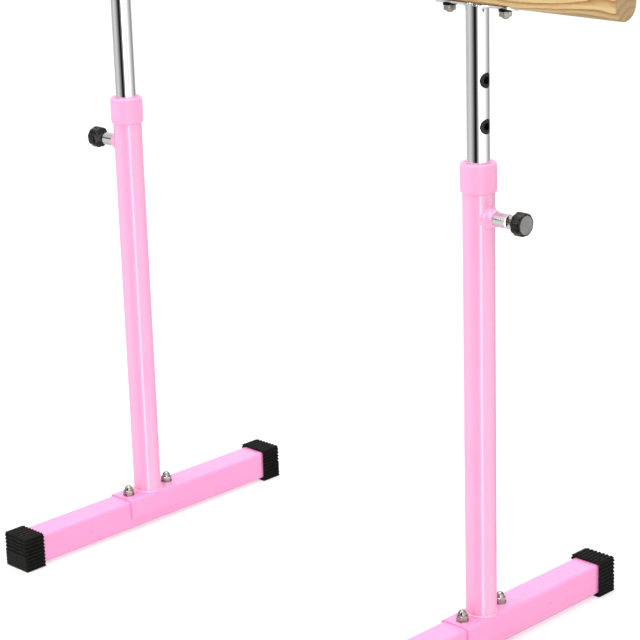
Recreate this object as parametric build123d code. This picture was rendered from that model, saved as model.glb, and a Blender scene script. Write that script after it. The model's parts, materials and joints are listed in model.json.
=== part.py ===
from build123d import *
import os
from math import cos, radians, sin, sqrt

# A freestanding ballet and stretching barre: a wooden bar on two height-adjustable legs.
# Millimetres, +Z up, +X along the bar. The origin is on the floor, midway between the legs.

# ---- driving dimensions ----
POST_SPACING = 620.0  # between the two post axes
BAR_LENGTH = 1032.0
BAR_RADIUS = 19.0
BAR_AXIS_HEIGHT = 806.0  # with the pins in their rest holes

FOOT_SIZE = 40.0  # square tube of each foot
FOOT_WALL = 1.5
FOOT_CORNER = 4.0
FOOT_LENGTH = 471.0  # over both rubber caps
CAP_WALL = 4.0
CAP_END = 4.0
CAP_LENGTH = 31.0
CAP_EDGE = 2.5  # rounding of the rubber's outside edges
RIB_GROOVE = 2.4  # width of the grooves between ribs
RIB_DEPTH = 1.8
RIB_PITCH = 5.1  # up the sides and on the end
TOP_RIB_PITCH = 6.0
SIDE_GROOVES = 9
TOP_GROOVES = 7
END_GROOVES = 4

SADDLE_LENGTH = 98.0
SADDLE_DEPTH = 28.0
SADDLE_PLATE = 2.0
SADDLE_BOLT_OFFSET = 35.0
SADDLE_BEND = 2.5  # inside radius of the folds

POST_RADIUS = 19.0
POST_WALL = 1.5
COLLAR_TOP = 607.0
COLLAR_HEIGHT = 35.0
COLLAR_RADIUS = 21.5
COLLAR_LIP = 3.4  # thickness of the lip that rests on the post's end
COLLAR_BUSH_DROP = 6.0  # how far its bush reaches below its skirt, inside the post

INNER_RADIUS = 13.35  # chromed inner tube
INNER_WALL = 1.5
INNER_BOTTOM = 344.0
GLIDE_HEIGHT = 27.0
GLIDE_FLOOR = 3.0
PIN_HEIGHT = 543.5
HOLE_PITCH = 53.0
HOLES_EACH_WAY = 3  # holes above and below the one in use at rest
BUSH_RADIUS = 8.9
BUSH_BACK = 4.8  # distance of a bush's closed back from the tube's axis
BUSH_FLOOR = 6.2  # distance of the bottom of its bore
BUSH_BORE = 4.5

CRADLE_LENGTH = 114.0
CRADLE_PLATE = 2.0
CRADLE_HALF_ANGLE = 41.0  # that the plate reaches up each side of the bar
CRADLE_CORNER = 12.0
CRADLE_BOLT_OFFSET = 41.0

BOLT_RADIUS = 4.0  # M8
BOLT_HOLE = 4.4
NUT_FLATS = 13.0
NUT_HEX_HEIGHT = 6.0
SADDLE_DOME_HEIGHT = 6.5  # of the cap nuts on the saddle
CRADLE_DOME_HEIGHT = 3.0
NUT_DOME_RADIUS = 5.5
NUT_TOP_RADIUS = 6.3  # of the flat ring inside the hexagon's bevel
WASHER_RADIUS = 8.0
WASHER_THICKNESS = 1.6
BOLT_HEAD_RADIUS = 8.0
BOLT_HEAD_HEIGHT = 4.0
BAR_RECESS = 5.0  # counterbore for each bolt head in the top of the bar

PIN_RADIUS = 4.0
PIN_TIP = 7.0  # distance of the engaged pin's tip from the post axis
PIN_FLANGE = 29.3
PIN_FLANGE_THICKNESS = 1.8
ROD_RADIUS = 3.0
BOSS_END = 27.0
NOSE_RADIUS = 7.0
NOSE_TIP = 16.6
BARREL_RADIUS = 8.5
BARREL_END = 46.0
CHAMBER_RADIUS = 6.4
CHAMBER_START = 29.0
CHAMBER_END = 44.0
SPRING_RADIUS = 4.9
SPRING_WIRE = 0.5
SPRING_COILS = 4.5
KNOB_START = 50.5
KNOB_END = 71.0
KNOB_RADIUS = 14.1
KNOB_NECK = 4.8
KNOB_SOCKET = 6.0  # how far the pin's rod stops short of the knob's outer end
DISC_RADIUS = 11.1
DISC_DEPTH = 1.0

FIT_GAP = 0.05  # between pieces pressed or screwed together
SLIDE_GAP = 0.3  # between sliding pieces

# ---- derived heights ----
FOOT_TOP = CAP_WALL + FOOT_SIZE
SADDLE_TOP = FOOT_TOP + SADDLE_PLATE
CRADLE_RADIUS = BAR_RADIUS + FIT_GAP
CRADLE_OUTER = CRADLE_RADIUS + CRADLE_PLATE
CRADLE_UNDERSIDE = BAR_AXIS_HEIGHT - CRADLE_OUTER
POST_BORE = POST_RADIUS - POST_WALL


# ---- shared shapes ----
def upright_cylinder(radius, low, high, x=0.0, y=0.0):
    return Pos(x, y, (low + high) / 2) * Cylinder(radius, high - low)


def rod_along_x(radius, start, end, z=0.0):
    # the quarter turn puts the cylinder's seam on its side, clear of holes made from above
    rod = Rot(0, 0, 90) * Cylinder(radius, end - start)
    return Pos((start + end) / 2, 0, z) * Rot(0, 90, 0) * rod


def turned_on_x(outline):
    """Turn an outline of (distance along X, radius) points about the X axis."""
    face = make_face(Polyline([(x, r) for x, r in outline], close=True))
    return revolve(face, Axis.X)


def turned_on_z(outline):
    """Turn an outline of (radius, height) points about the Z axis."""
    face = make_face(Polyline([(r, 0, z) for r, z in outline], close=True))
    return revolve(face, Axis.Z)


def domed_nut(base, dome_height):
    """M8 cap nut standing on the height base, with its dome up."""
    hexagon = extrude(RegularPolygon(NUT_FLATS / 2, 6, major_radius=False), NUT_HEX_HEIGHT)
    bevel = Cone(NUT_TOP_RADIUS + 2 * NUT_HEX_HEIGHT, NUT_TOP_RADIUS, NUT_HEX_HEIGHT)
    hexagon &= Pos(0, 0, NUT_HEX_HEIGHT / 2) * bevel
    top = NUT_HEX_HEIGHT + dome_height
    dome_centre = top - NUT_DOME_RADIUS
    dome = Pos(0, 0, dome_centre) * Sphere(NUT_DOME_RADIUS)
    dome &= upright_cylinder(NUT_DOME_RADIUS, dome_centre, top)
    dome += upright_cylinder(NUT_DOME_RADIUS, NUT_HEX_HEIGHT / 2, dome_centre)
    thread = upright_cylinder(BOLT_RADIUS + FIT_GAP, 0, NUT_HEX_HEIGHT + 0.5)
    return Pos(0, 0, base) * (hexagon + dome - thread)


def coach_bolt(head_face, tip):
    """Round-headed bolt. Its head bears on the height head_face, and its shank ends at tip."""
    up = 1 if tip > head_face else -1
    cap_radius = (BOLT_HEAD_RADIUS**2 + BOLT_HEAD_HEIGHT**2) / (2 * BOLT_HEAD_HEIGHT)
    ball = Pos(0, 0, up * (cap_radius - BOLT_HEAD_HEIGHT)) * Sphere(cap_radius)
    disc = Pos(0, 0, -up * BOLT_HEAD_HEIGHT / 2) * Cylinder(BOLT_HEAD_RADIUS, BOLT_HEAD_HEIGHT)
    head = Pos(0, 0, head_face) * (ball & disc)
    return head + upright_cylinder(BOLT_RADIUS, min(head_face, tip), max(head_face, tip))


def pair(make, offset, along_y):
    """Two copies of a piece, one on each side of the post axis."""
    spots = [(0, side * offset) if along_y else (side * offset, 0) for side in (-1, 1)]
    return Compound(children=[Pos(x, y, 0) * make() for x, y in spots])


# ---- foot ----
def foot_tube():
    length = FOOT_LENGTH - 2 * CAP_END
    outside = fillet(Box(FOOT_SIZE, length, FOOT_SIZE).edges().filter_by(Axis.Y), FOOT_CORNER)
    inner = FOOT_SIZE - 2 * FOOT_WALL
    inside = Box(inner, length, inner)
    inside = fillet(inside.edges().filter_by(Axis.Y), FOOT_CORNER - FOOT_WALL)
    tube = Pos(0, 0, CAP_WALL + FOOT_SIZE / 2) * (outside - inside)
    for side in (-1, 1):
        y = side * SADDLE_BOLT_OFFSET
        tube -= upright_cylinder(BOLT_HOLE, FOOT_TOP - 5, FOOT_TOP + 1, y=y)
        tube -= upright_cylinder(BOLT_HEAD_RADIUS + 2, 0, CAP_WALL + 5, y=y)
    return tube


def foot_cap(side):
    """Ribbed rubber boot on the end of a foot. side is -1 at the front and 1 at the rear."""
    outer = FOOT_SIZE + 2 * CAP_WALL
    block = fillet(Box(outer, CAP_LENGTH, outer).edges(), CAP_EDGE)
    pocket = Box(FOOT_SIZE + 2 * FIT_GAP, CAP_LENGTH, FOOT_SIZE + 2 * FIT_GAP)
    pocket = fillet(pocket.edges().filter_by(Axis.Y), FOOT_CORNER)
    cap = block - Pos(0, -CAP_END, 0) * pocket
    for i in range(SIDE_GROOVES):  # grooves up each side leave ribs that run along the foot
        z = outer / 2 - RIB_PITCH * (i + 0.5)
        for x in (-outer / 2, outer / 2):
            cap -= Pos(x, 0, z) * Box(2 * RIB_DEPTH, CAP_LENGTH + 1, RIB_GROOVE)
    for i in range(TOP_GROOVES):  # and across the top
        x = (i - (TOP_GROOVES - 1) / 2) * TOP_RIB_PITCH
        cap -= Pos(x, 0, outer / 2) * Box(RIB_GROOVE, CAP_LENGTH + 1, 2 * RIB_DEPTH)
    for i in range(END_GROOVES):  # level grooves on the upper half of the end
        z = outer / 2 - RIB_PITCH * (i + 1.2)
        cap -= Pos(0, CAP_LENGTH / 2, z) * Box(outer + 1, 2 * RIB_DEPTH, RIB_GROOVE)
    turn = 0 if side > 0 else 180
    y = side * (FOOT_LENGTH - CAP_LENGTH) / 2
    return Pos(0, y, outer / 2) * Rot(0, 0, turn) * cap


def saddle_bracket():
    """Channel that sits over the foot tube, with the post welded on top."""
    width = FOOT_SIZE + 2 * SADDLE_PLATE + 2 * FIT_GAP
    height = SADDLE_DEPTH
    outside = Box(width, SADDLE_LENGTH, height)
    outside = fillet(outside.edges().filter_by(Axis.Y).group_by(Axis.Z)[-1], SADDLE_BEND + SADDLE_PLATE)
    room = Box(FOOT_SIZE + 2 * FIT_GAP, SADDLE_LENGTH, height)
    room = fillet(room.edges().filter_by(Axis.Y).group_by(Axis.Z)[-1], SADDLE_BEND)
    channel = outside - Pos(0, 0, -SADDLE_PLATE) * room
    channel = Pos(0, 0, SADDLE_TOP - height / 2) * channel
    for side in (-1, 1):
        y = side * SADDLE_BOLT_OFFSET
        channel -= upright_cylinder(BOLT_HOLE, FOOT_TOP - 2, SADDLE_TOP + 1, y=y)
    return channel


def saddle_bolt():
    return coach_bolt(FOOT_TOP - FOOT_WALL, SADDLE_TOP + WASHER_THICKNESS + NUT_HEX_HEIGHT)


def saddle_washer():
    top = SADDLE_TOP + WASHER_THICKNESS
    ring = upright_cylinder(WASHER_RADIUS, SADDLE_TOP, top)
    return ring - upright_cylinder(BOLT_HOLE, SADDLE_TOP - 1, top + 1)


def saddle_nut():
    return domed_nut(SADDLE_TOP + WASHER_THICKNESS, SADDLE_DOME_HEIGHT)


# ---- post ----
def upright_tube():
    top = COLLAR_TOP - COLLAR_LIP - FIT_GAP
    tube = upright_cylinder(POST_RADIUS, SADDLE_TOP, top)
    tube -= upright_cylinder(POST_BORE, SADDLE_TOP, top)
    return tube - rod_along_x(NOSE_RADIUS + FIT_GAP, 10, 25, PIN_HEIGHT)


def collar():
    """Guide sleeve: a skirt outside the post, a lip over its end and a bush inside it."""
    low = COLLAR_TOP - COLLAR_HEIGHT
    rim = COLLAR_TOP - COLLAR_LIP
    bore = INNER_RADIUS + SLIDE_GAP
    skirt = POST_RADIUS + FIT_GAP
    bush = POST_BORE - FIT_GAP
    outline = [
        (bore, low - COLLAR_BUSH_DROP),
        (bush, low - COLLAR_BUSH_DROP),
        (bush, rim),
        (skirt, rim),
        (skirt, low),
        (COLLAR_RADIUS - 1.8, low),
        (COLLAR_RADIUS - 0.6, low + 0.9),
        (COLLAR_RADIUS, low + 2.8),
        (COLLAR_RADIUS, COLLAR_TOP - 3.2),
        (COLLAR_RADIUS - 0.7, COLLAR_TOP - 1.3),
        (COLLAR_RADIUS - 2.4, COLLAR_TOP),
        (bore + 2.6, COLLAR_TOP),
        (bore, COLLAR_TOP - 1.4),
    ]
    return turned_on_z(outline)


def plunger_boss():
    """Flared boss welded to the side of the post, which takes the plunger's thread."""
    flare = [(12, 14.0), (19, 12.6), (21, 11.2), (23.5, 10.2), (26, 9.7), (BOSS_END, 9.2)]
    boss = turned_on_x([(12, 0)] + flare + [(BOSS_END, 0)])
    boss -= rod_along_x(NOSE_RADIUS + FIT_GAP, 10, BOSS_END + 1)
    boss = Pos(0, 0, PIN_HEIGHT) * boss
    return boss - upright_cylinder(POST_RADIUS, PIN_HEIGHT - 30, PIN_HEIGHT + 30)


# ---- spring plunger, along +X from the post axis ----
def plunger_barrel():
    outline = [
        (NOSE_TIP, PIN_RADIUS + 0.2),
        (NOSE_TIP, NOSE_RADIUS),
        (BOSS_END, NOSE_RADIUS),
        (BOSS_END, BARREL_RADIUS - 0.5),
        (BOSS_END + 0.5, BARREL_RADIUS),
        (BARREL_END - 0.8, BARREL_RADIUS),
        (BARREL_END, BARREL_RADIUS - 0.8),
        (BARREL_END, ROD_RADIUS + 0.3),
        (CHAMBER_END, ROD_RADIUS + 0.3),
        (CHAMBER_END, CHAMBER_RADIUS),
        (CHAMBER_START, CHAMBER_RADIUS),
        (CHAMBER_START, PIN_RADIUS + 0.2),
    ]
    return Pos(0, 0, PIN_HEIGHT) * turned_on_x(outline)


def plunger_pin():
    shoulder = PIN_FLANGE + PIN_FLANGE_THICKNESS
    outline = [
        (PIN_TIP, 0),
        (PIN_TIP, PIN_RADIUS - 1.2),
        (PIN_TIP + 1.2, PIN_RADIUS),
        (PIN_FLANGE, PIN_RADIUS),
        (PIN_FLANGE, CHAMBER_RADIUS - SLIDE_GAP),
        (shoulder, CHAMBER_RADIUS - SLIDE_GAP),
        (shoulder, ROD_RADIUS),
        (KNOB_END - KNOB_SOCKET, ROD_RADIUS),
        (KNOB_END - KNOB_SOCKET, 0),
    ]
    return Pos(0, 0, PIN_HEIGHT) * turned_on_x(outline)


def plunger_spring():
    start = PIN_FLANGE + PIN_FLANGE_THICKNESS + SPRING_WIRE + 0.1
    length = CHAMBER_END - SPRING_WIRE - 0.1 - start
    path = Helix(length / SPRING_COILS, length, SPRING_RADIUS)
    section = Plane(origin=path @ 0, z_dir=path % 0) * Circle(SPRING_WIRE)
    coil = sweep(section, path=path, is_frenet=True)
    return Pos(start, 0, PIN_HEIGHT) * Rot(0, 90, 0) * coil


def plunger_knob():
    bore = ROD_RADIUS + FIT_GAP
    outline = [
        (KNOB_START, bore),
        (KNOB_START, KNOB_NECK - 0.6),
        (KNOB_START + 0.6, KNOB_NECK),
        (KNOB_START + 1.2, KNOB_NECK),
        (KNOB_START + 6.6, KNOB_RADIUS - 1.2),
        (KNOB_START + 8.0, KNOB_RADIUS),
        (KNOB_END - 2.2, KNOB_RADIUS),
        (KNOB_END - 0.6, KNOB_RADIUS - 0.7),
        (KNOB_END, KNOB_RADIUS - 2.2),
        (KNOB_END, DISC_RADIUS + FIT_GAP),
        (KNOB_END - DISC_DEPTH, DISC_RADIUS + FIT_GAP),
        (KNOB_END - DISC_DEPTH, 0),
        (KNOB_END - KNOB_SOCKET + FIT_GAP, 0),
        (KNOB_END - KNOB_SOCKET + FIT_GAP, bore),
    ]
    return Pos(0, 0, PIN_HEIGHT) * turned_on_x(outline)


def knob_disc():
    """Plain metal disc let into the end of the knob."""
    start = KNOB_END - DISC_DEPTH
    return rod_along_x(DISC_RADIUS, start, KNOB_END - 0.2, PIN_HEIGHT)


# ---- moving bar assembly ----
def hole_heights():
    steps = range(-HOLES_EACH_WAY, HOLES_EACH_WAY + 1)
    return [PIN_HEIGHT + step * HOLE_PITCH for step in steps]


def inner_tube():
    tube = upright_cylinder(INNER_RADIUS, INNER_BOTTOM, BAR_AXIS_HEIGHT)
    tube -= upright_cylinder(INNER_RADIUS - INNER_WALL, INNER_BOTTOM, BAR_AXIS_HEIGHT)
    tube -= rod_along_x(CRADLE_OUTER, -60, 60, BAR_AXIS_HEIGHT)
    for z in hole_heights():
        tube -= rod_along_x(BUSH_RADIUS + FIT_GAP, BUSH_BACK, INNER_RADIUS + 1, z)
    return tube


def hole_bush(z):
    """Plastic cup in one pin hole, flush with the outside of the tube and closed at the back."""
    plug = rod_along_x(BUSH_RADIUS, BUSH_BACK, INNER_RADIUS + 1, z)
    plug &= upright_cylinder(INNER_RADIUS, z - HOLE_PITCH / 2, z + HOLE_PITCH / 2)
    return plug - rod_along_x(BUSH_BORE, BUSH_FLOOR, INNER_RADIUS + 2, z)


def hole_bushes():
    return Compound(children=[hole_bush(z) for z in hole_heights()])


def inner_tube_glide():
    """Plastic shoe on the lower end of the inner tube, a sliding fit in the post."""
    low = INNER_BOTTOM - GLIDE_FLOOR
    top = low + GLIDE_HEIGHT
    outside = POST_BORE - SLIDE_GAP
    outline = [
        (0, low),
        (outside - 1, low),
        (outside, low + 1),
        (outside, top - 1),
        (outside - 1, top),
        (INNER_RADIUS + FIT_GAP, top),
        (INNER_RADIUS + FIT_GAP, INNER_BOTTOM),
        (0, INNER_BOTTOM),
    ]
    return turned_on_z(outline)


def cradle():
    """Curved plate under the bar, welded to the top of the inner tube."""
    half = CRADLE_LENGTH / 2
    shell = rod_along_x(CRADLE_OUTER, -half, half) - rod_along_x(CRADLE_RADIUS, -half, half)
    lip = CRADLE_OUTER * (1 - cos(radians(CRADLE_HALF_ANGLE)))
    below = Pos(0, 0, -CRADLE_OUTER + lip / 2) * Box(CRADLE_LENGTH, 2 * CRADLE_OUTER, lip)
    width = 2 * CRADLE_OUTER * sin(radians(CRADLE_HALF_ANGLE))
    plan = extrude(RectangleRounded(CRADLE_LENGTH, width, CRADLE_CORNER), -2 * CRADLE_OUTER)
    plate = Pos(0, 0, BAR_AXIS_HEIGHT) * (shell & below & plan)
    for side in (-1, 1):
        x = side * CRADLE_BOLT_OFFSET
        plate -= upright_cylinder(BOLT_HOLE, CRADLE_UNDERSIDE - 5, BAR_AXIS_HEIGHT, x=x)
    return plate


def cradle_bolt():
    tip = CRADLE_UNDERSIDE - WASHER_THICKNESS - NUT_HEX_HEIGHT
    return coach_bolt(BAR_AXIS_HEIGHT + BAR_RADIUS - BAR_RECESS, tip)


def cradle_washer():
    """Washer shaped to the curve of the cradle."""
    low = CRADLE_UNDERSIDE - WASHER_THICKNESS
    high = BAR_AXIS_HEIGHT - sqrt(CRADLE_OUTER**2 - WASHER_RADIUS**2) + 0.5
    ring = upright_cylinder(WASHER_RADIUS, low, high) - upright_cylinder(BOLT_HOLE, low - 1, high + 1)
    return ring - rod_along_x(CRADLE_OUTER + FIT_GAP, -20, 20, BAR_AXIS_HEIGHT)


def cradle_nut():
    nut = Rot(180, 0, 0) * domed_nut(0, CRADLE_DOME_HEIGHT)
    return Pos(0, 0, CRADLE_UNDERSIDE - WASHER_THICKNESS) * nut


def wooden_bar():
    bar = rod_along_x(BAR_RADIUS, -BAR_LENGTH / 2, BAR_LENGTH / 2, BAR_AXIS_HEIGHT)
    bar = fillet(bar.edges().filter_by(GeomType.CIRCLE), 1.8)
    top = BAR_AXIS_HEIGHT + BAR_RADIUS
    for post in (-1, 1):
        for side in (-1, 1):
            x = post * POST_SPACING / 2 + side * CRADLE_BOLT_OFFSET
            bar -= upright_cylinder(BOLT_HOLE, BAR_AXIS_HEIGHT - 25, top, x=x)
            bar -= upright_cylinder(BOLT_HEAD_RADIUS + 0.4, top - BAR_RECESS, top + 1, x=x)
    return bar


# ---- one leg, built about its post axis with the plunger towards +X ----
def leg_pieces():
    return {
        "foot_tube": foot_tube(),
        "front_foot_cap": foot_cap(-1),
        "rear_foot_cap": foot_cap(1),
        "saddle_bracket": saddle_bracket(),
        "saddle_bolts": pair(saddle_bolt, SADDLE_BOLT_OFFSET, True),
        "saddle_washers": pair(saddle_washer, SADDLE_BOLT_OFFSET, True),
        "saddle_nuts": pair(saddle_nut, SADDLE_BOLT_OFFSET, True),
        "upright_tube": upright_tube(),
        "collar": collar(),
        "plunger_boss": plunger_boss(),
        "plunger_barrel": plunger_barrel(),
        "plunger_pin": plunger_pin(),
        "plunger_spring": plunger_spring(),
        "plunger_knob": plunger_knob(),
        "knob_disc": knob_disc(),
        "inner_tube": inner_tube(),
        "hole_bushes": hole_bushes(),
        "inner_tube_glide": inner_tube_glide(),
        "bar_cradle": cradle(),
        "cradle_bolts": pair(cradle_bolt, CRADLE_BOLT_OFFSET, False),
        "cradle_washers": pair(cradle_washer, CRADLE_BOLT_OFFSET, False),
        "cradle_nuts": pair(cradle_nut, CRADLE_BOLT_OFFSET, False),
    }


def swap_front_and_rear(name):
    """A turned leg's front cap ends up at the rear, so the two names change places."""
    swaps = {"front_foot_cap": "rear_foot_cap", "rear_foot_cap": "front_foot_cap"}
    return swaps.get(name, name)


os.makedirs("parts", exist_ok=True)
right_place = Pos(POST_SPACING / 2, 0, 0)
left_place = Pos(-POST_SPACING / 2, 0, 0) * Rot(0, 0, 180)
for name, piece in leg_pieces().items():
    export_step(right_place * piece, f"parts/right_{name}.step")
    export_step(left_place * piece, f"parts/left_{swap_front_and_rear(name)}.step")
export_step(wooden_bar(), "parts/wooden_bar.step")
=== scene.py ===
import json
import math

import bmesh
import bpy
from mathutils import Matrix, Vector, noise


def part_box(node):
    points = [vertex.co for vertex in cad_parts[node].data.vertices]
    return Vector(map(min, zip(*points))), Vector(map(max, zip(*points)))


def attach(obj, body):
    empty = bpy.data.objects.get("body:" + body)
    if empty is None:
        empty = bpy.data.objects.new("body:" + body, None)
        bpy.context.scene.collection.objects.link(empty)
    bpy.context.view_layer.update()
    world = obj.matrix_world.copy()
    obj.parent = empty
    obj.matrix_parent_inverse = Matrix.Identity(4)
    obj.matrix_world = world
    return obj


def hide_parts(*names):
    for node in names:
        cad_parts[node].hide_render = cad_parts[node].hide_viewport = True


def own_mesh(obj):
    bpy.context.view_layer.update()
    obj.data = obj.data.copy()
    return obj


# A freestanding ballet barre. Everything is in metres, in the frame of the CAD model.

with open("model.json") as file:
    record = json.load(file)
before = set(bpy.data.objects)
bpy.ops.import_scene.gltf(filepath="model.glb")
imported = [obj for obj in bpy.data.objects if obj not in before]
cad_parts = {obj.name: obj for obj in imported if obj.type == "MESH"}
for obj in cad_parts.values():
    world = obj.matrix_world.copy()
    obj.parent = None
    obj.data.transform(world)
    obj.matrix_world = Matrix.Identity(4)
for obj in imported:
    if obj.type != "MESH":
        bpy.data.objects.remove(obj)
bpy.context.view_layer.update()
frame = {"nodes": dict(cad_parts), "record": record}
NODES = frame["nodes"]
SIDES = ("left", "right")
UP = Vector((0, 0, 1))


# ---------------------------------------------------------------- camera
CAMERA_PLACE = Vector((1.8925, -1.829, 1.174))
CAMERA_YAW = math.radians(-45.28)  # from +Y towards -X
CAMERA_PITCH = math.radians(-17.29)
CAMERA_ROLL = math.radians(-1.7)
CAMERA_LENS = 121.75
SENSOR = 36.0


def add_camera():
    level = math.cos(CAMERA_PITCH)
    ahead = Vector(
        (math.sin(CAMERA_YAW) * level, math.cos(CAMERA_YAW) * level, math.sin(CAMERA_PITCH))
    )
    right = Vector((math.cos(CAMERA_YAW), -math.sin(CAMERA_YAW), 0))
    top = right.cross(ahead)
    rolled_right = right * math.cos(CAMERA_ROLL) + top * math.sin(CAMERA_ROLL)
    rolled_top = top * math.cos(CAMERA_ROLL) - right * math.sin(CAMERA_ROLL)
    turn = Matrix((rolled_right, rolled_top, -ahead)).transposed()
    data = bpy.data.cameras.new("camera")
    data.lens = CAMERA_LENS
    data.sensor_width = SENSOR
    data.clip_end = 100
    camera = bpy.data.objects.new("camera", data)
    camera.matrix_world = Matrix.Translation(CAMERA_PLACE) @ turn.to_4x4()
    bpy.context.scene.collection.objects.link(camera)
    bpy.context.scene.camera = camera


# ---------------------------------------------------------------- node helpers
def new_tree(name):
    material = bpy.data.materials.new(name)
    material.use_nodes = True
    return material, material.node_tree, material.node_tree.nodes["Principled BSDF"]


def add(tree, kind, inputs=None, **settings):
    node = tree.nodes.new(kind)
    for key, value in settings.items():
        setattr(node, key, value)
    for key, value in (inputs or {}).items():
        if isinstance(value, bpy.types.NodeSocket):
            tree.links.new(value, node.inputs[key])
        else:
            node.inputs[key].default_value = value
    return node


def math_node(tree, operation, *values, clamp=False):
    inputs = dict(enumerate(values))
    return add(tree, "ShaderNodeMath", inputs, operation=operation, use_clamp=clamp).outputs[0]


def object_coords(tree, scale=(1, 1, 1)):
    place = add(tree, "ShaderNodeTexCoord").outputs["Object"]
    return add(tree, "ShaderNodeMapping", {"Vector": place, "Scale": scale}).outputs[0]


def noise_node(tree, scale, vector=None, detail=2.0, roughness=0.5):
    inputs = {"Scale": scale, "Detail": detail, "Roughness": roughness}
    inputs["Vector"] = vector if vector is not None else object_coords(tree)
    return add(tree, "ShaderNodeTexNoise", inputs).outputs["Fac"]


def ramp(tree, fac, stops):
    node = add(tree, "ShaderNodeValToRGB", {"Fac": fac})
    elements = node.color_ramp.elements
    while len(elements) < len(stops):
        elements.new(0.5)
    for element, (position, colour) in zip(elements, stops):
        element.position = position
        element.color = (*colour, 1)
    return node.outputs["Color"]


def spread(tree, fac, low, high):
    inputs = {"Value": fac, "To Min": low, "To Max": high}
    return add(tree, "ShaderNodeMapRange", inputs).outputs["Result"]


def spread_between(tree, fac, fac_low, fac_high, low, high):
    inputs = {"Value": fac, "From Min": fac_low, "From Max": fac_high, "To Min": low, "To Max": high}
    return add(tree, "ShaderNodeMapRange", inputs).outputs["Result"]


def mix_colour(tree, fac, first, second):
    node = add(tree, "ShaderNodeMix", data_type="RGBA")
    for socket, value in ((node.inputs[0], fac), (node.inputs[6], first), (node.inputs[7], second)):
        if isinstance(value, bpy.types.NodeSocket):
            tree.links.new(value, socket)
        else:
            socket.default_value = (*value, 1) if isinstance(value, tuple) else value
    return node.outputs[2]


def bump(tree, shader, height, strength, distance):
    inputs = {"Height": height, "Strength": strength, "Distance": distance}
    normal = add(tree, "ShaderNodeBump", inputs).outputs["Normal"]
    tree.links.new(normal, shader.inputs["Normal"])


# ---------------------------------------------------------------- materials
PINK = (0.94, 0.365, 0.61)
PINK_THIN = (0.95, 0.41, 0.65)
# Darker copy of the pink paint for the feet and saddles: painted shade, standing in for the lower parts
# taking less light.
SHADED_FOOT_PINK = (0.93, 0.29, 0.585)
SHADED_FOOT_PINK_THIN = (0.94, 0.325, 0.625)

DISC_RINGS_PER_METRE = 9000.0

PINE_PITH = Vector((0, 0.016, -0.030))  # from the bar's axis; set low, so the darker heart round it falls on the bar's underside as painted shade
PINE_RING = 0.0078  # thickness of one year's growth
PINE_BEND = 0.052  # how far the rings wander along the bar
PINE_WAVER = 0.005  # and how far they waver over a few centimetres
PINE_LEAN = 0.012  # sideways drift of the pith for each metre of bar
PINE_PALE = (0.75, 0.57, 0.285)
PINE_HONEY = (0.57, 0.40, 0.16)
PINE_TAN = (0.42, 0.25, 0.085)
PINE_ORANGE = (0.31, 0.115, 0.02)
# Heart wood colour, which also serves as painted shade under the bar
PINE_HEART_UNDER_SHADE = (0.25, 0.15, 0.055)
PINE_HEART_SHADE_REACH = (0.018, 0.032)  # from the pith: all dark heart inside, none outside; this dark heart is also painted shade on the bar's underside
PINE_END_PALE = (0.52, 0.36, 0.18)
PINE_END_DARK = (0.34, 0.21, 0.09)
PINE_END_RING = (0.22, 0.115, 0.045)
PINE_LATE_WOOD = [  # share of dark late wood through one year's ring
    (0.0, (0.35, 0.35, 0.35)),
    (0.06, (0.0, 0.0, 0.0)),
    (0.45, (0.0, 0.0, 0.0)),
    (0.86, (0.75, 0.75, 0.75)),
    (0.96, (1.0, 1.0, 1.0)),
    (1.0, (0.35, 0.35, 0.35)),
]


def powder_coat(name, thick, thin):
    material, tree, shader = new_tree(name)
    cloud = noise_node(tree, 9.0, detail=3.0)
    colour = mix_colour(tree, cloud, thick, thin)
    tree.links.new(colour, shader.inputs["Base Color"])
    tree.links.new(spread(tree, noise_node(tree, 60.0), 0.24, 0.36), shader.inputs["Roughness"])
    shader.inputs["Coat Weight"].default_value = 1.0
    shader.inputs["Coat IOR"].default_value = 1.6
    shader.inputs["Coat Roughness"].default_value = 0.08
    bump(tree, shader, noise_node(tree, 1400.0, detail=3.0), 0.12, 0.0004)
    return material


def pink_plastic():
    material, tree, shader = new_tree("pink_plastic")
    colour = mix_colour(tree, noise_node(tree, 30.0), PINK, PINK_THIN)
    tree.links.new(colour, shader.inputs["Base Color"])
    tree.links.new(spread(tree, noise_node(tree, 90.0), 0.3, 0.42), shader.inputs["Roughness"])
    shader.inputs["Subsurface Weight"].default_value = 0.08
    shader.inputs["Subsurface Radius"].default_value = (0.003, 0.0015, 0.002)
    bump(tree, shader, noise_node(tree, 2500.0), 0.08, 0.0002)
    return material


def black_rubber():
    material, tree, shader = new_tree("black_rubber")
    dust = noise_node(tree, 140.0, detail=5.0, roughness=0.65)
    colour = ramp(tree, dust, [(0.3, (0.002, 0.002, 0.0016)), (0.8, (0.007, 0.007, 0.0055))])
    tree.links.new(colour, shader.inputs["Base Color"])
    tree.links.new(spread(tree, dust, 0.18, 0.34), shader.inputs["Roughness"])
    shader.inputs["Specular IOR Level"].default_value = 0.12
    bump(tree, shader, noise_node(tree, 1800.0, detail=4.0), 0.3, 0.0003)
    return material


def black_plastic():
    material, tree, shader = new_tree("black_plastic")
    cloud = noise_node(tree, 220.0, detail=4.0)
    colour = ramp(tree, cloud, [(0.3, (0.004, 0.004, 0.0036)), (0.8, (0.012, 0.0115, 0.0105))])
    tree.links.new(colour, shader.inputs["Base Color"])
    tree.links.new(spread(tree, cloud, 0.2, 0.34), shader.inputs["Roughness"])
    shader.inputs["Specular IOR Level"].default_value = 0.28
    bump(tree, shader, noise_node(tree, 2600.0, detail=3.0), 0.12, 0.0002)
    return material


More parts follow.
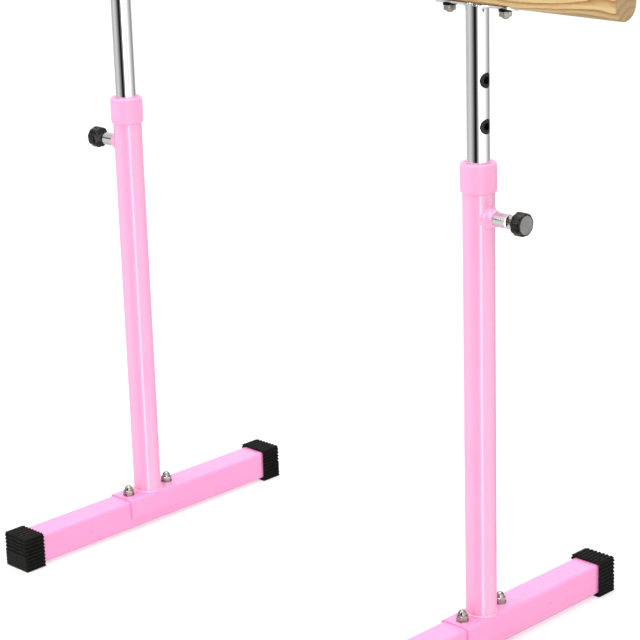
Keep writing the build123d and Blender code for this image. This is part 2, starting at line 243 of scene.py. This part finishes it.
def white_nylon():
    material, tree, shader = new_tree("white_nylon")
    colour = mix_colour(tree, noise_node(tree, 80.0), (0.72, 0.71, 0.66), (0.8, 0.79, 0.75))
    tree.links.new(colour, shader.inputs["Base Color"])
    tree.links.new(spread(tree, noise_node(tree, 200.0), 0.35, 0.5), shader.inputs["Roughness"])
    shader.inputs["Subsurface Weight"].default_value = 0.15
    shader.inputs["Subsurface Radius"].default_value = (0.003, 0.003, 0.003)
    return material


def chrome(name="chrome", polish=(0.04, 0.09)):
    material, tree, shader = new_tree(name)
    drawn = noise_node(tree, 1.0, object_coords(tree, (900, 900, 14)), detail=3.0)
    colour = mix_colour(tree, drawn, (0.79, 0.79, 0.80), (0.86, 0.86, 0.87))
    tree.links.new(colour, shader.inputs["Base Color"])
    tree.links.new(spread(tree, drawn, *polish), shader.inputs["Roughness"])
    shader.inputs["Metallic"].default_value = 1.0
    bump(tree, shader, drawn, 0.03, 0.0002)
    return material


def zinc():
    material, tree, shader = new_tree("zinc")
    cloud = noise_node(tree, 260.0, detail=4.0)
    colour = ramp(tree, cloud, [(0.3, (0.25, 0.245, 0.215)), (0.7, (0.47, 0.465, 0.42))])
    tree.links.new(colour, shader.inputs["Base Color"])
    tree.links.new(spread(tree, cloud, 0.14, 0.26), shader.inputs["Roughness"])
    shader.inputs["Metallic"].default_value = 1.0
    bump(tree, shader, noise_node(tree, 1500.0), 0.08, 0.0002)
    return material


def dark_steel():
    material, tree, shader = new_tree("dark_steel")
    cloud = noise_node(tree, 300.0, detail=4.0)
    colour = ramp(tree, cloud, [(0.3, (0.07, 0.055, 0.045)), (0.7, (0.15, 0.125, 0.105))])
    tree.links.new(colour, shader.inputs["Base Color"])
    tree.links.new(spread(tree, cloud, 0.22, 0.36), shader.inputs["Roughness"])
    shader.inputs["Metallic"].default_value = 1.0
    bump(tree, shader, cloud, 0.05, 0.0002)
    return material


def disc_metal():
    """Satin metal with fine rings spun round the knobs' shared axis."""
    material, tree, shader = new_tree("disc_metal")
    low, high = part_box("right_knob_disc")
    parts = add(tree, "ShaderNodeSeparateXYZ", {"Vector": object_coords(tree)}).outputs
    across = math_node(tree, "SUBTRACT", parts["Y"], (low.y + high.y) / 2)
    rise = math_node(tree, "SUBTRACT", parts["Z"], (low.z + high.z) / 2)
    squares = math_node(tree, "MULTIPLY_ADD", across, across, math_node(tree, "MULTIPLY", rise, rise))
    radius = math_node(tree, "SQRT", squares)
    rings = math_node(tree, "SINE", math_node(tree, "MULTIPLY", radius, DISC_RINGS_PER_METRE))
    cloud = noise_node(tree, 400.0, detail=4.0)
    tone = math_node(tree, "MULTIPLY_ADD", rings, 0.18, cloud)
    colour = ramp(tree, tone, [(0.25, (0.26, 0.255, 0.25)), (0.75, (0.5, 0.495, 0.48))])
    tree.links.new(colour, shader.inputs["Base Color"])
    tree.links.new(spread(tree, cloud, 0.3, 0.45), shader.inputs["Roughness"])
    shader.inputs["Metallic"].default_value = 1.0
    bump(tree, shader, rings, 0.25, 0.0002)
    return material


def pine(bar_low, bar_high):
    """Flat-sawn pine: a few broad growth rings that run out of the round bar as long tongues."""
    material, tree, shader = new_tree("pine")
    centre = (bar_low + bar_high) / 2
    parts = add(tree, "ShaderNodeSeparateXYZ", {"Vector": object_coords(tree)}).outputs
    along, across, height = parts["X"], parts["Y"], parts["Z"]
    bend = noise_node(tree, 1.0, object_coords(tree, (7, 12, 12)), detail=1.0)
    waver = noise_node(tree, 1.0, object_coords(tree, (30, 90, 90)), detail=3.0)
    drift = math_node(tree, "MULTIPLY", math_node(tree, "SUBTRACT", bend, 0.5), PINE_BEND)
    drift = math_node(tree, "MULTIPLY_ADD", math_node(tree, "SUBTRACT", waver, 0.5), PINE_WAVER, drift)
    side = math_node(tree, "SUBTRACT", across, centre.y + PINE_PITH.y)
    side = math_node(tree, "MULTIPLY_ADD", along, PINE_LEAN, side)
    rise = math_node(tree, "SUBTRACT", height, centre.z + PINE_PITH.z)
    squares = math_node(tree, "MULTIPLY_ADD", rise, rise, math_node(tree, "MULTIPLY", side, side))
    radius = math_node(tree, "ADD", math_node(tree, "SQRT", squares), drift)
    ring = math_node(tree, "FRACT", math_node(tree, "DIVIDE", radius, PINE_RING))
    late = ramp(tree, ring, PINE_LATE_WOOD)
    strength = noise_node(tree, 1.0, object_coords(tree, (4.5, 34, 34)), detail=2.0)
    late = math_node(tree, "MULTIPLY", late, spread_between(tree, strength, 0.3, 0.52, 0.45, 1.0))
    fibre = noise_node(tree, 1.0, object_coords(tree, (14, 1300, 1300)), detail=4.0, roughness=0.6)
    streak = noise_node(tree, 1.0, object_coords(tree, (5, 260, 260)), detail=3.0)
    pale = mix_colour(tree, fibre, PINE_PALE, PINE_HONEY)
    pale = mix_colour(tree, spread_between(tree, streak, 0.35, 0.8, 0.0, 0.6), pale, PINE_TAN)
    # Darker heart wood near the pith, which lies under the bar: partly the wood's own tone, partly
    # painted shade on the bar's underside.
    heart_and_under_shade = spread_between(tree, radius, *PINE_HEART_SHADE_REACH, 0.75, 0.0)
    colour = mix_colour(tree, heart_and_under_shade, mix_colour(tree, late, pale, PINE_ORANGE), PINE_HEART_UNDER_SHADE)
    normal = add(tree, "ShaderNodeTexCoord").outputs["Normal"]
    towards_end = add(tree, "ShaderNodeSeparateXYZ", {"Vector": normal}).outputs["X"]
    end = math_node(tree, "POWER", math_node(tree, "ABSOLUTE", towards_end), 8.0, clamp=True)
    pores = noise_node(tree, 1.0, object_coords(tree, (500, 420, 90)), detail=4.0, roughness=0.7)
    end_colour = mix_colour(tree, pores, PINE_END_PALE, PINE_END_DARK)
    end_colour = mix_colour(tree, math_node(tree, "MULTIPLY", late, 0.5), end_colour, PINE_END_RING)
    colour = mix_colour(tree, end, colour, end_colour)
    tree.links.new(colour, shader.inputs["Base Color"])
    tree.links.new(spread(tree, fibre, 0.34, 0.52), shader.inputs["Roughness"])
    shader.inputs["Coat Weight"].default_value = 0.12
    shader.inputs["Coat Roughness"].default_value = 0.22
    shader.inputs["Specular IOR Level"].default_value = 0.3
    bump(tree, shader, fibre, 0.15, 0.0003)
    return material


# ---------------------------------------------------------------- mesh helpers
def make_piece(name, mesh_builder, body, material, replaced=()):
    work = bmesh.new()
    mesh_builder(work)
    bmesh.ops.recalc_face_normals(work, faces=work.faces)
    mesh = bpy.data.meshes.new(name)
    work.to_mesh(mesh)
    work.free()
    for face in mesh.polygons:
        face.use_smooth = True
    mesh.materials.append(material)
    piece = bpy.data.objects.new(name, mesh)
    bpy.context.scene.collection.objects.link(piece)
    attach(piece, body)
    if replaced:
        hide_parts(*replaced)
    return piece


def paint(node_name, material):
    piece = NODES[node_name]
    piece.data.materials.clear()
    piece.data.materials.append(material)


def loft(work, rings, closed=False):
    """Faces between a list of rings of points, each ring closed on itself."""
    rows = [[work.verts.new(point) for point in ring] for ring in rings]
    pairs = list(zip(rows, rows[1:]))
    if closed:
        pairs.append((rows[-1], rows[0]))
    for first, second in pairs:
        for i in range(len(first)):
            j = (i + 1) % len(first)
            work.faces.new((first[i], first[j], second[j], second[i]))
    return rows


# ---------------------------------------------------------------- rubber foot caps
CAP_STEPS = 76  # grid squares across each face of a cap
CAP_CORNER = 0.0024  # radius of the outside corners
CAP_RIB_PITCH = 0.0051  # up the sides and on the end
CAP_FIRST_GROOVE = 0.6  # of a pitch, from the top down
CAP_TOP_PITCH = 0.0062
CAP_RIB_DEPTH = 0.0025
CAP_END_SHARE = 0.6  # depth of the ribs on the end, against the others
CAP_END_REACH = 1.1  # how far down the end they go, in halves of its height
CAP_END_WAVE = 0.0006  # how much the ribs on the end rise and fall
CAP_END_WAVE_LENGTH = 0.017
CAP_RIM = 0.003  # thickness of the rubber at the mouth


def rib_profile(distance, pitch):
    """1 along the crest of a rib, falling to 0 at the bottom of the groove between two ribs."""
    return min(1.0, 1.06 * abs(math.sin(math.pi * distance / pitch)) ** 1.15)


def facing(share):
    """How much a surface belongs to a face of the cap, from its normal's part along that axis."""
    t = max(0.0, min(1.0, (abs(share) - 0.1) / 0.45))
    return t * t * (3 - 2 * t)


def cap_relief(place, normal, half):
    """How far the rubber is cut back, for a place measured from the middle of the cap."""
    below_top = half.z - place.z
    first = CAP_FIRST_GROOVE * CAP_RIB_PITCH
    sides = facing(normal.x) * (1 - rib_profile(below_top - first, CAP_RIB_PITCH))
    top = 0.0
    if normal.z > 0:
        top = facing(normal.z) * (1 - rib_profile(place.x - CAP_TOP_PITCH / 2, CAP_TOP_PITCH))
    end = 0.0
    if below_top < CAP_END_REACH * half.z:
        wave = CAP_END_WAVE * math.sin(2 * math.pi * place.x / CAP_END_WAVE_LENGTH)
        on_end = rib_profile(below_top - wave - first, CAP_RIB_PITCH)
        end = CAP_END_SHARE * facing(normal.y) * (1 - on_end)
    return CAP_RIB_DEPTH * max(sides, top, end)


def cap_mesh(low, high, mouth):
    """Boot on the end of a foot. mouth is -1 or 1, the way along Y that it opens."""
    centre, half = (low + high) / 2, (high - low) / 2
    core = half - Vector((CAP_CORNER,) * 3)

    def shaped(point):
        inner = Vector([max(-c, min(c, v)) for v, c in zip(point, core)])
        inner.y = point.y if point.y * mouth > 0 else inner.y
        away = point - inner
        normal = away.normalized() if away.length > 1e-7 else Vector((0, -mouth, 0))
        surface = inner + normal * CAP_CORNER
        if point.z < -half.z + 1e-6:
            surface.z = -half.z
        return centre + surface - normal * cap_relief(surface, normal, half)

    def build(work):
        steps = CAP_STEPS
        square = ((0, 0), (1, 0), (1, 1), (0, 1))
        verts = {}

        def vert(i, j, k):
            if (i, j, k) not in verts:
                grid = Vector([(2 * n / steps - 1) for n in (i, j, k)])
                point = Vector([g * h for g, h in zip(grid, half)])
                verts[i, j, k] = work.verts.new(shaped(point))
            return verts[i, j, k]

        end = 0 if mouth > 0 else steps
        for a in range(steps):
            for b in range(steps):
                for side in (0, steps):
                    work.faces.new([vert(side, a + m, b + n) for m, n in square])
                    work.faces.new([vert(a + m, b + n, side) for m, n in square])
                work.faces.new([vert(a + m, end, b + n) for m, n in square])
        lip = [edge for edge in work.edges if edge.is_boundary]
        for depth in (0.0, -2 * half.y + 2 * CAP_RIM):
            made = bmesh.ops.extrude_edge_only(work, edges=lip)["geom"]
            lip = [item for item in made if isinstance(item, bmesh.types.BMEdge)]
            for item in made:
                if isinstance(item, bmesh.types.BMVert):
                    away = item.co - centre
                    room = half.x - CAP_RIM
                    item.co.x = centre.x + max(-room, min(room, away.x))
                    item.co.z = centre.z + max(-room, min(room, away.z))
                    item.co.y += mouth * depth
        bmesh.ops.edgeloop_fill(work, edges=lip)

    return build


# ---------------------------------------------------------------- plunger knobs
KNOB_LOBES = 9
KNOB_SIDES = 144
KNOB_FLUTE = 0.0009  # depth of the flutes between the lobes
KNOB_OUTLINE = [  # millimetres from the inner end, radius, and how deep the flutes are there
    (0.0, 3.2, 0.0),
    (0.0, 4.2, 0.0),
    (0.3, 4.6, 0.0),
    (1.2, 4.8, 0.0),
    (2.0, 5.6, 0.1),
    (4.0, 9.0, 0.5),
    (5.8, 11.8, 0.8),
    (6.8, 13.1, 1.0),
    (7.8, 13.9, 1.0),
    (8.8, 14.1, 1.0),
    (12.0, 14.1, 1.0),
    (16.4, 14.1, 1.0),
    (18.2, 13.9, 1.0),
    (19.3, 13.4, 0.8),
    (20.1, 12.7, 0.4),
    (20.5, 12.0, 0.1),
    (20.5, 11.6, 0.0),
    (20.3, 11.3, 0.0),
    (19.7, 11.15, 0.0),
]


def knob_mesh(low, high, outward):
    inner_end = low.x if outward > 0 else high.x
    y, z = (low.y + high.y) / 2, (low.z + high.z) / 2

    def build(work):
        rings = []
        for along, radius, flute in KNOB_OUTLINE:
            ring = []
            for i in range(KNOB_SIDES):
                angle = 2 * math.pi * i / KNOB_SIDES
                dip = (0.5 - 0.5 * math.cos(KNOB_LOBES * angle)) ** 2
                r = radius / 1000 - KNOB_FLUTE * flute * dip
                x = inner_end + outward * along / 1000
                ring.append((x, y + r * math.sin(angle), z + r * math.cos(angle)))
            rings.append(ring)
        rows = loft(work, rings)
        for row in (rows[0], rows[-1]):
            work.faces.new(row)

    return build


# ---------------------------------------------------------------- plunger springs
SPRING_COILS = 4.5
SPRING_STEPS = 160
SPRING_SIDES = 8
SPRING_WIRE = 0.0005  # radius


def spring_mesh(low, high):
    """Coil spring along X that fills a box."""
    y, z = (low.y + high.y) / 2, (low.z + high.z) / 2
    coil_radius = (high.z - low.z) / 2 - SPRING_WIRE
    start, end = low.x + SPRING_WIRE, high.x - SPRING_WIRE

    def build(work):
        rings = []
        for i in range(SPRING_STEPS + 1):
            share = i / SPRING_STEPS
            turn = 2 * math.pi * SPRING_COILS * share
            outward = Vector((0, math.sin(turn), math.cos(turn)))
            middle = Vector((start + share * (end - start), y, z)) + outward * coil_radius
            ring = []
            for j in range(SPRING_SIDES):
                around = 2 * math.pi * j / SPRING_SIDES
                offset = outward * math.cos(around) + Vector((math.sin(around), 0, 0))
                ring.append(middle + offset * SPRING_WIRE)
            rings.append(ring)
        rows = loft(work, rings)
        for row in (rows[0], rows[-1]):
            work.faces.new(row)

    return build


# ---------------------------------------------------------------- weld beads
BEAD_STEPS = 180
BEAD_SIDES = 12
POST_BEAD = (0.0021, 46)  # radius, and ripples round the seam
BOSS_BEAD = (0.0014, 30)
CRADLE_BEAD = (0.0015, 34)


def bead_mesh(path, radius, ripples):
    """A weld bead: a tube round a closed path, with the ripples that the torch leaves."""

    def build(work):
        points = [path(2 * math.pi * i / BEAD_STEPS) for i in range(BEAD_STEPS)]
        rings = []
        for i, point in enumerate(points):
            along = (points[(i + 1) % BEAD_STEPS] - points[i - 1]).normalized()
            side = along.orthogonal().normalized() if abs(along.z) > 0.9 else along.cross(UP).normalized()
            over = side.cross(along)
            phase = (ripples * i / BEAD_STEPS) % 1.0
            swell = 0.86 + 0.2 * math.sqrt(phase) + 0.16 * noise.noise(point * 160)
            ring = []
            for j in range(BEAD_SIDES):
                turn = 2 * math.pi * j / BEAD_SIDES
                ring.append(point + (side * math.cos(turn) + over * math.sin(turn)) * radius * swell)
            rings.append(ring)
        loft(work, rings, closed=True)

    return build


def post_foot_path(side):
    low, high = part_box(f"{side}_upright_tube")
    centre, radius = (low + high) / 2, (high.x - low.x) / 2

    def path(turn):
        return Vector((centre.x + radius * math.cos(turn), centre.y + radius * math.sin(turn), low.z))

    return path


def boss_path(side):
    low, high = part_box(f"{side}_upright_tube")
    axis_x, post_radius = (low.x + high.x) / 2, (high.x - low.x) / 2
    boss_low, boss_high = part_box(f"{side}_plunger_boss")
    height = (boss_low.z + boss_high.z) / 2
    boss_radius = (boss_high.z - boss_low.z) / 2
    outward = 1 if side == "right" else -1

    def path(turn):
        y = boss_radius * math.sin(turn)
        x = math.sqrt(post_radius**2 - y**2)
        return Vector((axis_x + outward * x, y, height + boss_radius * math.cos(turn)))

    return path


def cradle_path(side):
    tube_low, tube_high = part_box(f"{side}_hole_bushes")
    post_low, post_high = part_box(f"{side}_upright_tube")
    axis_x = (post_low.x + post_high.x) / 2
    tube_radius = max(abs(tube_low.x - axis_x), abs(tube_high.x - axis_x))
    bar_low, bar_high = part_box("wooden_bar")
    bar_height = (bar_low.z + bar_high.z) / 2
    plate_radius = bar_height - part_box(f"{side}_bar_cradle")[0].z

    def path(turn):
        y = tube_radius * math.sin(turn)
        z = bar_height - math.sqrt(plate_radius**2 - y**2)
        return Vector((axis_x + tube_radius * math.cos(turn), y, z))

    return path


# ---------------------------------------------------------------- stage
FLOOR_REACH = 30.0


def stage_floor():
    """White floor that glows a little, so that the shadows under the feet stay pale."""
    mesh = bpy.data.meshes.new("floor")
    reach = FLOOR_REACH
    corners = [(-reach, -reach, 0), (reach, -reach, 0), (reach, reach, 0), (-reach, reach, 0)]
    mesh.from_pydata(corners, [], [(0, 1, 2, 3)])
    floor = bpy.data.objects.new("floor", mesh)
    bpy.context.scene.collection.objects.link(floor)
    material, _, shader = new_tree("pale_floor")
    shader.inputs["Base Color"].default_value = (0.5, 0.5, 0.5, 1)
    shader.inputs["Emission Color"].default_value = (1, 1, 1, 1)
    shader.inputs["Emission Strength"].default_value = 0.5
    shader.inputs["Roughness"].default_value = 0.9
    shader.inputs["Specular IOR Level"].default_value = 0.1
    mesh.materials.append(material)
    floor.visible_glossy = False  # so that upright tubes reflect the studio walls


def area_light(name, place, target, size, power):
    data = bpy.data.lights.new(name, "AREA")
    data.shape = "RECTANGLE"
    data.size, data.size_y = size
    data.energy = power
    light = bpy.data.objects.new(name, data)
    light.location = place
    light.rotation_mode = "QUATERNION"
    light.rotation_quaternion = (Vector(target) - Vector(place)).to_track_quat("-Z", "Y")
    bpy.context.scene.collection.objects.link(light)


def white_room():
    world = bpy.data.worlds.new("studio")
    world.use_nodes = True
    background = world.node_tree.nodes["Background"]
    background.inputs["Color"].default_value = (1, 1, 1, 1)
    background.inputs["Strength"].default_value = 1.0
    bpy.context.scene.world = world
    bpy.context.scene.view_settings.view_transform = "Standard"


# The studio walls only show in glossy reflections: a dark flag, and white panels with grey between.
# Bearings are in degrees round the object, from +X towards +Y.
WALL_RADIUS = 7.0
WALL_LOW, WALL_HIGH = -14.0, 7.0
WALL_SIDES = 72
WALL_BAND = [  # how much of a dark band over the horizon there is, by height
    (1.0, 0.0),
    (1.6, 0.95),
    (3.3, 0.95),
    (4.2, 0.0),
]
WALL_BAND_REACH = [  # and by bearing
    (-180, 0.7),
    (-60, 1.0),
    (-40, 0.0),
    (95, 0.0),
    (150, 0.0),
    (180, 0.7),
]
WALL_TONES = [  # brightness by bearing
    (-180, 0.55),
    (-160, 0.62),
    (-131, 0.80),
    (-109, 0.52),
    (-99, 0.33),
    (-88, 0.14),
    (-79, 0.012),
    (-66, 0.010),
    (-57, 0.16),
    (-50, 0.55),
    (-42, 0.95),
    (-38, 4.6),
    (-29, 4.6),
    (-25, 1.3),
    (18, 1.3),
    (35, 0.95),
    (55, 0.62),
    (72, 0.42),
    (85, 0.28),
    (120, 0.75),
    (165, 0.75),
    (180, 0.55),
]


def studio_walls():
    mesh = bpy.data.meshes.new("studio_walls")
    points = []
    for i in range(WALL_SIDES):
        bearing = 2 * math.pi * i / WALL_SIDES
        x, y = WALL_RADIUS * math.cos(bearing), WALL_RADIUS * math.sin(bearing)
        points += [(x, y, WALL_LOW), (x, y, WALL_HIGH)]
    count = len(points)
    faces = [(i, (i + 2) % count, (i + 3) % count, i + 1) for i in range(0, count, 2)]
    mesh.from_pydata(points, [], faces)
    walls = bpy.data.objects.new("studio_walls", mesh)
    bpy.context.scene.collection.objects.link(walls)
    material = bpy.data.materials.new("studio_walls")
    material.use_nodes = True
    tree = material.node_tree
    tree.nodes.clear()
    parts = add(tree, "ShaderNodeSeparateXYZ", {"Vector": object_coords(tree)}).outputs
    bearing = math_node(tree, "ARCTAN2", parts["Y"], parts["X"])
    share = math_node(tree, "MULTIPLY_ADD", bearing, 0.5 / math.pi, 0.5)
    tones = [((degrees + 180) / 360, (tone,) * 3) for degrees, tone in WALL_TONES]
    reach = [((degrees + 180) / 360, (tone,) * 3) for degrees, tone in WALL_BAND_REACH]
    rise = math_node(tree, "DIVIDE", parts["Z"], WALL_HIGH)
    band = ramp(tree, rise, [(height / WALL_HIGH, (tone,) * 3) for height, tone in WALL_BAND])
    shade = math_node(tree, "MULTIPLY", band, ramp(tree, share, reach))
    lit = math_node(tree, "SUBTRACT", 1.0, shade)
    glow = add(tree, "ShaderNodeEmission", {"Color": ramp(tree, share, tones), "Strength": lit})
    output = add(tree, "ShaderNodeOutputMaterial")
    tree.links.new(glow.outputs[0], output.inputs["Surface"])
    mesh.materials.append(material)
    walls.visible_camera = False
    walls.visible_diffuse = False
    walls.visible_shadow = False
    walls.visible_transmission = False


# ---------------------------------------------------------------- putting it together
add_camera()
stage_floor()
white_room()
area_light("key", place=(-1.3, -2.9, 2.4), target=(0, 0, 0.4), size=(1.6, 1.6), power=30)
area_light("top", place=(-0.2, 0.2, 3.4), target=(0, 0, 0), size=(3.0, 3.0), power=85)
studio_walls()

MATERIALS = {
    "pink_paint": powder_coat("pink_powder_coat", PINK, PINK_THIN),
    "pink_plastic": pink_plastic(),
    "black_rubber": black_rubber(),
    "black_plastic": black_plastic(),
    "white_plastic": white_nylon(),
    "chrome_plate": chrome(),
    "zinc_steel": zinc(),
    "disc_metal": disc_metal(),
    "pine_wood": pine(*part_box("wooden_bar")),
}
# Shaded copy of the pink paint for the feet and saddles: painted shade.
SHADED_FOOT_PAINT = powder_coat("pink_coat_painted_shade", SHADED_FOOT_PINK, SHADED_FOOT_PINK_THIN)
SATIN_CHROME = chrome("satin_chrome", (0.22, 0.32))
SPECIAL = {  # nodes whose finish differs a little from the rest of their slot; the feet and saddles take a darker copy of the pink paint, which is painted shade
    "foot_tube": SHADED_FOOT_PAINT,
    "saddle_bracket": SHADED_FOOT_PAINT,
    "bar_cradle": SATIN_CHROME,
    "plunger_pin": dark_steel(),
}
for row in frame["record"]["subparts"]:
    kind = row["node"].partition("_")[2]
    paint(row["node"], SPECIAL.get(kind, MATERIALS[row["material_slot"]]))


def add_pieces(side):
    """The pieces of one leg that replace or join its CAD solids."""
    outward = 1 if side == "right" else -1
    rubber, plastic = MATERIALS["black_rubber"], MATERIALS["black_plastic"]
    pink, silver, zinc_plate = MATERIALS["pink_paint"], MATERIALS["chrome_plate"], MATERIALS["zinc_steel"]
    for end, mouth in (("front", 1), ("rear", -1)):
        cap = f"{side}_{end}_foot_cap"
        boot = cap_mesh(*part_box(cap), mouth)
        make_piece(f"{side}_{end}_boot", boot, "base", rubber, [cap])
    plunger, knob = f"{side}_plunger", f"{side}_plunger_knob"
    fluted = knob_mesh(*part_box(knob), outward)
    make_piece(f"{side}_fluted_knob", fluted, plunger, plastic, [knob])
    coil = f"{side}_plunger_spring"
    low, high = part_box(coil)
    turns = spring_mesh(low, high)
    spring = make_piece(f"{side}_coil_spring", turns, "base", zinc_plate, [coil])
    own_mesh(spring)
    foot_bead = bead_mesh(post_foot_path(side), *POST_BEAD)
    make_piece(f"{side}_post_weld", foot_bead, "base", pink)
    boss_bead = bead_mesh(boss_path(side), *BOSS_BEAD)
    make_piece(f"{side}_boss_weld", boss_bead, "base", pink)
    cradle_bead = bead_mesh(cradle_path(side), *CRADLE_BEAD)
    make_piece(f"{side}_cradle_weld", cradle_bead, "bar", silver)


for side in SIDES:
    add_pieces(side)
